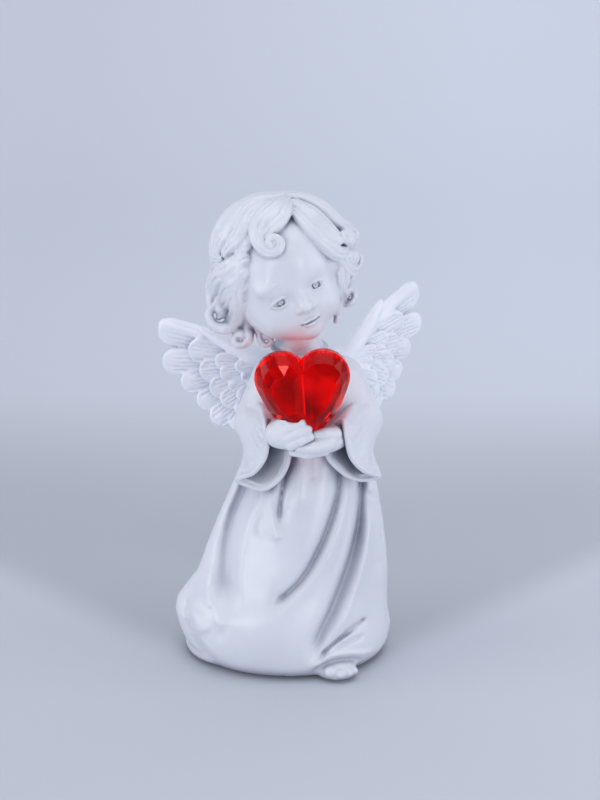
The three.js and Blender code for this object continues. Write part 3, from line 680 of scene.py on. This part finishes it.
def sculpt_right_hand():
    """The figure's right hand, seen from its back, with the fingers together and rising."""
    clay = Clay((-12, -33, 66), (14, -4, 91), 0.2)
    clay.add(limb((-4.4, -8, 73.6), (-2.4, -17.5, 76.8), 2.9, 3.4))
    clay.add(ball((0.0, -21.8, 77.0), (4.8, 3.7, 4.5), turned(-18, 12)), 2.5)
    clay.add(ball((2.2, -24.0, 77.0), (3.9, 3.0, 4.0), turned(-28)), 2.0)
    roots = [(-0.1, -23.0, 80.2), (1.0, -24.6, 78.6), (2.2, -25.6, 76.8), (3.0, -26.0, 74.8)]
    tips = [(3.8, -25.0, 83.0), (6.0, -26.2, 81.6), (7.8, -26.8, 79.8), (8.6, -26.8, 77.6)]
    for root, tip, r in zip(roots, tips, (1.8, 1.85, 1.75, 1.6)):
        root, tip = np.array(root), np.array(tip)
        knuckle = root * 0.5 + tip * 0.5 + np.array((0.0, -0.7, 0.4))
        finger(clay, [root, knuckle, tip], [r * 1.12, r * 1.05, r * 0.9], 0.4)
    return clay


def sculpt_left_hand():
    """The figure's left hand, palm up under the other, with its fingers along the front."""
    clay = Clay((-2, -32, 65), (28, -4, 85), 0.2)
    clay.add(limb((20, -8, 73.2), (16.4, -17.5, 75.6), 3.1, 3.4))
    clay.add(ball((13.6, -20.6, 75.4), (4.9, 4.2, 3.6), turned(8, 20)), 2.5)
    clay.add(ball((11.0, -22.0, 74.8), (5.0, 4.0, 3.0)), 2.0)
    # the thumb lies along the heart
    finger(clay, [(15.2, -22.6, 77.6), (12.4, -24.8, 78.4), (9.4, -25.4, 78.2)], [2.2, 1.9, 1.45], 0.5)
    rows = [
        ([(13.4, -24.2, 75.4), (9.0, -26.4, 74.8), (4.6, -26.0, 74.4)], [2.5, 2.15, 1.5]),
        ([(11.8, -23.8, 73.4), (7.0, -25.2, 72.6), (2.7, -24.4, 72.6)], [2.2, 1.8, 1.3]),
        ([(11.0, -21.6, 72.6), (6.6, -22.6, 71.6), (3.2, -21.8, 71.6)], [2.0, 1.65, 1.2]),
        ([(10.4, -19.4, 72.8), (6.6, -19.8, 71.9), (4.0, -19.4, 71.9)], [1.8, 1.5, 1.1]),
    ]
    for points, sizes in rows:
        finger(clay, points, sizes, 0.35)
    return clay


# ---------------------------------------------------------------- wings

WINGS = {
    "right_wing": dict(side=-1, sweep=14, raise_=1, spur=(17.5, 28.3)),
    "left_wing": dict(side=1, sweep=44, raise_=13, spur=(26, 25.4)),
}
# angle, length, width, how far forward: three rows from the long feathers to the short ones
FEATHERS = [
    (10.7, 42.6, 8.6, 0.0), (-4.5, 39.2, 9.4, 0.2), (-17, 36.6, 8.8, 0.1), (-29, 34.2, 8.4, 0.2),
    (-42, 31.4, 8.0, 0.1), (-54, 28.4, 7.4, 0.0), (-66, 24, 6.4, 0.0),
    (4, 30.6, 8.0, 1.7), (-9.5, 28.8, 8.4, 1.9), (-23, 27.4, 7.6, 1.8), (-36, 26.0, 7.4, 1.8),
    (-49, 23.6, 6.8, 1.7), (-62, 19, 6.0, 1.6),
    (-1, 22.0, 6.0, 3.0), (-14, 21.2, 5.8, 3.1), (-27, 20.4, 5.6, 3.1), (-40, 19.2, 5.4, 3.0),
    (-53, 17.0, 5.0, 2.9),
    (-6, 15.6, 4.4, 3.9), (-20, 15.0, 4.4, 4.0), (-34, 14.2, 4.2, 4.0), (-48, 13.0, 4.0, 3.9),
]


def feather(root, along, across, front, length, width, lift, rng):
    """A broad round-tipped feather, domed in front, with a few short grooves along it."""
    tilt, thick, edge = 0.10, 0.85, 0.3
    marks = []  # for each groove its place across the feather, and where it starts and ends along it
    for k in range(5):
        at = -0.62 + 0.3 * k + 0.1 * rng.random()
        marks.append((at, 0.42 + 0.14 * rng.random(), 0.8 + 0.14 * rng.random()))
    tip = root + along * length
    low = np.minimum(root, tip) - width
    high = np.maximum(root, tip) + width

    def distance(x, y, z):
        p = (x - root[0], y - root[1], z - root[2])
        a = p[0] * along[0] + p[1] * along[1] + p[2] * along[2]
        b = p[0] * across[0] + p[1] * across[1] + p[2] * across[2]
        n = p[0] * front[0] + p[1] * front[1] + p[2] * front[2]
        h = width / 2
        wide = h * (0.42 + 0.58 * smooth(0.1 * length, 0.72 * length, a))
        cap = np.maximum(a - (length - h), 0)
        outline = np.hypot(cap, b) - wide
        outline = np.maximum(outline, -a)
        s = np.clip(b / wide, -1.2, 1.2)
        dome = 1.35 * (1 - s * s) * (1 - 0.5 * np.clip(cap / h, 0, 1) ** 2)
        rim = 0.2 * np.exp(-(((outline + 0.7) / 0.55) ** 2))
        middle = lift + tilt * b + 0.02 * a + 0.9 * smooth(0.6 * length, length, a)
        top = middle + thick / 2 + dome * 0.8 + rim
        for across_at, first, last in marks:
            line = np.exp(-(((b - across_at * wide) / 0.28) ** 2))
            line = line * smooth((first - 0.08) * length, first * length, a)
            top = top - 0.45 * line * smooth((last + 0.06) * length, last * length, a)
        bottom = middle - thick / 2
        slab = np.maximum(n - top, bottom - n)
        o, q = outline + edge, slab + edge
        rounded = np.hypot(np.maximum(o, 0), np.maximum(q, 0)) + np.minimum(np.maximum(o, q), 0) - edge
        return rounded.astype(np.float32)

    return low, high, distance


def sculpt_wing(side, sweep, raise_, spur):
    turn = np.array(Euler((0, math.radians(-side * raise_), math.radians(side * sweep)), "XYZ").to_matrix())
    root = np.array((7.4 + side * 6, 12.8, 91.2))
    out, front, up = turn @ (side, 0, 0), turn @ (0, -1, 0), turn @ (0, 0, 1)
    corners = [out * 45, out * 0, -up * 30 + out * 10, up * 14 + out * 40]
    low = root + np.minimum.reduce(corners + [-up * 28 + out * 26]) - 7
    high = root + np.maximum.reduce(corners + [up * 14]) + 7
    clay = Clay(low, high, 0.3)
    rng = np.random.default_rng(11)

    def polar(angle, reach, n):
        a = math.radians(angle)
        return root + out * (reach * math.cos(a)) + up * (reach * math.sin(a)) + front * n

    for angle, length, width, lift in FEATHERS:
        a = math.radians(angle + 2.4 * (rng.random() - 0.5))
        length *= 0.96 + 0.08 * rng.random()
        width *= 0.94 + 0.2 * rng.random()
        lift += 0.5 * (rng.random() - 0.5)
        along = out * math.cos(a) + up * math.sin(a)
        across = -out * math.sin(a) + up * math.cos(a)
        clay.add(feather(root, along, across, front, length, width, lift, rng), 0.12)
    # the leading edge: a smooth arm with a rounded end
    arm = [polar(8, 3, 1.6), polar(12, 12, 2.2), polar(14.5, 22, 2.0), polar(14, 32, 1.6),
           polar(13.4, 38.5, 1.3), polar(12.2, 41.2, 1.0)]
    rows = [list(p) + [r] for p, r in zip(arm, (3.2, 2.8, 2.4, 2.2, 2.4, 2.1))]
    clay.add(lock(rows, lambda p: front, 0.75, 0), 0.8)
    # the short bar that stands over it
    angle, reach = spur
    bar = [polar(angle * 0.4, 4, 3.4), polar(angle * 0.75, reach * 0.5, 4.2), polar(angle, reach * 0.82, 4.4),
           polar(angle + 1, reach, 4.3)]
    rows = [list(p) + [r] for p, r in zip(bar, (2.8, 2.5, 1.9, 1.0))]
    clay.add(lock(rows, lambda p: front + up * 0.5, 0.7, 0), 0.5)
    # the root goes into the back
    clay.add(limb(root + out * 3, root + out * 0.5 + np.array((0, -5.5, 0)), 3.4, 3.2), 1.5)
    return clay


# ---------------------------------------------------------------- materials


class Shading:
    """A material in the making: its nodes, their links and its shader."""

    def __init__(self, name, values):
        self.material = bpy.data.materials.new(name)
        self.material.use_nodes = True
        tree = self.material.node_tree
        self.nodes, self.links, self.shader = tree.nodes, tree.links, tree.nodes["Principled BSDF"]
        for socket, value in values.items():
            self.shader.inputs[socket].default_value = value

    def add(self, kind, sockets, **settings):
        """A node with its settings; each socket takes a number or another node's output."""
        node = self.nodes.new("ShaderNode" + kind)
        for name, value in settings.items():
            setattr(node, name, value)
        for socket, value in sockets.items():
            if isinstance(value, bpy.types.NodeSocket):
                self.links.new(value, node.inputs[socket])
            else:
                node.inputs[socket].default_value = value
        return node

    def feed(self, output, socket):
        self.links.new(output, self.shader.inputs[socket])

    def place(self):
        return self.add("TexCoord", {}).outputs["Object"]

    def noise(self, scale, detail=2.0):
        cloud = self.add("TexNoise", {"Scale": scale, "Detail": detail, "Vector": self.place()})
        return cloud.outputs["Fac"]

    def bump(self, height, strength, distance):
        relief = self.add("Bump", {"Strength": strength, "Distance": distance, "Height": height})
        self.feed(relief.outputs["Normal"], "Normal")

    def calculate(self, operation, *values):
        return self.add("Math", dict(enumerate(values)), operation=operation).outputs["Value"]

    def spread(self, value, start, end, low=0.0, high=1.0, how="LINEAR"):
        """A value that runs from start to end, made to run from low to high."""
        sockets = {"Value": value, "From Min": start, "From Max": end, "To Min": low, "To Max": high}
        return self.add("MapRange", sockets, interpolation_type=how).outputs["Result"]

    def ramp(self, value, stops, how="LINEAR"):
        """Colours along a value, from rows of a place and a colour."""
        node = self.add("ValToRGB", {"Fac": value})
        node.color_ramp.interpolation = how
        elements = node.color_ramp.elements
        while len(elements) < len(stops):
            elements.new(0.5)
        for element, (at, color) in zip(elements, stops):
            element.position = at
            element.color = (*color, 1)
        return node.outputs["Color"]


def resin_material(name, recess, painted_lift=1.0):
    """Cast resin with painted shade in its recesses; recess is the share of light that its deepest hollows keep,
    and the last factor brightens the whole colour as painted light.
    """
    made = Shading(name, {
        "Roughness": 0.31,
        "Specular IOR Level": 0.5,
        "Subsurface Weight": 0.12,
        "Subsurface Radius": (1.0, 0.8, 0.8),
        "Subsurface Scale": 0.0012,
    })
    # painted light: the whole tone is raised by the last factor, for pieces that get too little light
    cool, warm = (0.71 * painted_lift, 0.725 * painted_lift, 0.785 * painted_lift), (0.77 * painted_lift, 0.785 * painted_lift, 0.84 * painted_lift)
    tint = made.ramp(made.noise(45, 4), [(0.35, cool), (0.65, warm)])
    # painted shade: an ambient occlusion mask makes the colour darker and cooler in recesses, where shade falls
    hollow = made.add("AmbientOcclusion", {"Distance": 0.006}, samples=6).outputs["AO"]
    depth = made.ramp(hollow, [(0.25, (recess, recess * 1.02, recess * 1.2)), (0.85, (1, 1, 1))])
    shade = made.add("Mix", {"Factor": 1.0, 6: tint, 7: depth}, data_type="RGBA", blend_type="MULTIPLY")
    made.feed(shade.outputs[2], "Base Color")
    made.bump(made.noise(1400, 3), 0.12, 0.0002)
    return made.material


def acrylic_material():
    made = Shading("red_acrylic", {
        "Base Color": (0.6, 0.0, 0.0, 1),
        "Roughness": 0.03,
        "IOR": 1.49,
        "Transmission Weight": 0.9,
        "Specular IOR Level": 0.35,
        "Specular Tint": (1.0, 0.2, 0.2, 1),
        "Emission Color": (1.0, 0.0, 0.0, 1),
    })
    # painted glow: the acrylic emits red light in cloudy patches, standing in for light that gathers inside it
    made.feed(made.spread(made.noise(95, 1.5), 0.47, 0.66, 0.0, 0.36), "Emission Strength")
    made.bump(made.noise(300), 0.03, 0.0002)
    return made.material


def plain_material(name, color, roughness, metallic, scale, strength):
    made = Shading(name, {"Base Color": (*color, 1), "Roughness": roughness, "Metallic": metallic})
    made.bump(made.noise(scale), strength, 0.0003)
    return made.material


def wear(piece, material):
    piece.data.materials.clear()
    piece.data.materials.append(material)


# ---------------------------------------------------------------- the figurine

resin = resin_material("white_resin", 0.4)
# the wings wear a brighter copy of the resin with weaker painted shade: painted light where they get less light
# than the body
feathered = resin_material("feathered_resin", 0.6, 1.19)


def finish_piece(piece, node, shift=(0, 0, 0)):
    piece.data.transform(Matrix.Translation(Vector(shift) * MM))
    wear(piece, feathered if "wing" in node else resin)
    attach(piece, "root")
    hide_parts(node)
    print(node, len(piece.data.polygons), "faces")


gown = sculpt_gown()
sleeve(gown, -1, (-8.6, 1.5, 75.6), CUFFS[0], (-3.0, -18, 77))
sleeve(gown, 1, (23.8, 1.5, 76.4), CUFFS[1], (17.5, -18, 76))
# the crook of each arm
gown.press([(-15.4, 85), (-12.6, 81.8), (-9.4, 79.6), (-6.2, 78.6)], 1.4, 0.8)
gown.press([(28.4, 85.4), (26.2, 82.6), (23.6, 80.6), (21.0, 79.6)], 1.4, 0.6)
finish_piece(gown.skin("gown_sculpt", 0.05), "gown_body")
finish_piece(sculpt_head(), "head")
finish_piece(sculpt_right_hand().skin("right_hand_sculpt", 0.02), "right_hand", (-0.8, 0, 1.7))
finish_piece(sculpt_left_hand().skin("left_hand_sculpt", 0.02), "left_hand", (0, 0, 1.2))
for name, about in WINGS.items():
    finish_piece(sculpt_wing(**about).skin(name + "_sculpt", 0.05), name)

wear(nodes["heart"], acrylic_material())
wear(nodes["heart_pin"], plain_material("drawn_steel", (0.72, 0.73, 0.74), 0.3, 1.0, 900, 0.1))
wear(nodes["neck_dowel"], plain_material("turned_wood", (0.62, 0.44, 0.24), 0.65, 0.0, 500, 0.2))
wear(nodes["base_pad"], plain_material("black_foam", (0.02, 0.02, 0.022), 0.95, 0.0, 1600, 0.6))
for polygon in nodes["heart"].data.polygons:
    polygon.use_smooth = False

# ---------------------------------------------------------------- stage, in metres

PAPER = (0.58, 0.61, 0.665)
COOL = (0.95, 0.97, 1.0)


def backdrop():
    """A floor that curves up into a wall behind."""
    rows = [(-3, 0), (0.35, 0), (0.55, 0.005)]
    for k in range(1, 13):
        a = math.pi / 2 * k / 12
        rows.append((0.6 + 0.5 * math.sin(a), 0.01 + 0.5 * (1 - math.cos(a))))
    rows.append((1.1, 3.0))
    vertices, faces = [], []
    for y, z in rows:
        vertices += [(-4, y, z), (4, y, z)]
    for k in range(len(rows) - 1):
        faces.append((2 * k, 2 * k + 1, 2 * k + 3, 2 * k + 2))
    mesh = bpy.data.meshes.new("floor")
    mesh.from_pydata(vertices, [], faces)
    mesh.update()
    mesh.shade_smooth()
    return mesh


def backdrop_material():
    """Pale paper with painted light and shade: darker in a band behind the figurine and towards one side, and a
    painted shadow in a wedge behind it.
    """
    made = Shading("backdrop", {"Roughness": 0.85})
    place = made.add("SeparateXYZ", {"Vector": made.place()}).outputs
    # painted light and shade: the paper is darker towards the left and lighter towards the right
    across = made.spread(place["X"], -0.14, 0.14, 0.94, 1.06)
    away = made.spread(place["Y"], -0.1, 0.9)
    # painted light and shade along the depth: the floor near the figurine is darker than the paper further back,
    # which brightens up the wall
    tones = [(0.0, 1.0), (0.1, 1.0), (0.24, 1.02), (0.31, 1.2), (0.38, 1.44), (0.6, 1.5), (1.0, 1.5)]
    band = made.ramp(away, [(at, [share * tone for share in PAPER]) for at, tone in tones], "B_SPLINE")
    # painted shadow: the floor is darker in a wedge that opens behind the figurine, where its shadow falls
    wedge = made.calculate("MULTIPLY_ADD", made.calculate("ABSOLUTE", place["X"]), -1.1, place["Y"])
    painted_shadow = made.spread(wedge, -0.058, -0.026, 0.0, 0.18, "SMOOTHSTEP")
    behind = made.spread(place["Y"], -0.03, 0.012, how="SMOOTHSTEP")
    kept = made.calculate("SUBTRACT", 1.0, made.calculate("MULTIPLY", painted_shadow, behind))
    both = made.calculate("MULTIPLY", across, kept)
    tone = made.add("VectorMath", {0: band, "Scale": both}, operation="SCALE")
    made.feed(tone.outputs["Vector"], "Base Color")
    return made.material


def show(name, data, at=(0, 0, 0)):
    made = bpy.data.objects.new(name, data)
    made.location = at
    bpy.context.scene.collection.objects.link(made)
    return made


floor = show("floor", backdrop())
wear(floor, backdrop_material())


def area_light(name, at, target, size, power, color=(1, 1, 1)):
    data = bpy.data.lights.new(name, "AREA")
    data.shape = "RECTANGLE"
    data.size = data.size_y = size
    data.energy = power
    data.color = color
    lamp = show(name, data, at)
    lamp.rotation_euler = (Vector(target) - Vector(at)).to_track_quat("-Z", "Y").to_euler()


def around(azimuth, elevation, distance):
    a, e = math.radians(azimuth), math.radians(elevation)
    return (distance * math.sin(a) * math.cos(e), -distance * math.cos(a) * math.cos(e), distance * math.sin(e))


for side, name in ((-1, "left"), (1, "right")):
    area_light("key_" + name, around(side * 33, 13, 1.1), (0, 0, 0.05), 0.3, 1.8, COOL)
    area_light("fill_" + name, around(side * 80, 16, 0.9), (0, 0, 0.07), 0.7, 2.55 - 0.35 * side, COOL)
area_light("top", (0, 0.2, 1.5), (0, 0.3, 0), 1.4, 7.6)
# red light that the heart throws on chin and chest
glow = bpy.data.lights.new("heart_glow", "POINT")
glow.energy = 0.0038
glow.color = (1.0, 0.02, 0.02)
glow.shadow_soft_size = 0.008
show("heart_glow", glow, (0.0058, -0.012, 0.093))

world = bpy.data.worlds.new("studio")
world.use_nodes = True
world.node_tree.nodes["Background"].inputs["Color"].default_value = (0.75, 0.80, 0.95, 1)
world.node_tree.nodes["Background"].inputs["Strength"].default_value = 0.46
bpy.context.scene.world = world

# the camera looks a little down from the front
ELEVATION = math.radians(17)
TARGET = Vector((0.0049, 0, 0.0825))
DISTANCE = 0.62
VIEW_HEIGHT = 0.8 / 3.25  # what the frame takes in at the target
SENSOR = 24
camera_data = bpy.data.cameras.new("camera")
offset = Vector((0, -math.cos(ELEVATION), math.sin(ELEVATION))) * DISTANCE
camera = show("camera", camera_data, TARGET + offset)
camera.rotation_euler = (-offset).to_track_quat("-Z", "Y").to_euler()
camera_data.sensor_fit = "VERTICAL"
camera_data.sensor_height = SENSOR
camera_data.lens = SENSOR * DISTANCE / VIEW_HEIGHT
bpy.context.scene.camera = camera
bpy.context.scene.view_settings.view_transform = "Standard"

# a small lamp where the upper facet of the heart's lobe throws it towards the camera
HIGHLIGHT = Vector((-0.0006, -0.0262, 0.1012))
heart = nodes["heart"]
facet = min(heart.data.polygons, key=lambda f: (heart.matrix_world @ f.center - HIGHLIGHT).length)
facet_at = heart.matrix_world @ facet.center
normal = (heart.matrix_world.to_3x3() @ facet.normal).normalized()
to_camera = (camera.location - facet_at).normalized()
away = 2 * normal.dot(to_camera) * normal - to_camera
area_light("sparkle", facet_at + away * 0.45, facet_at, 0.05, 0.12)
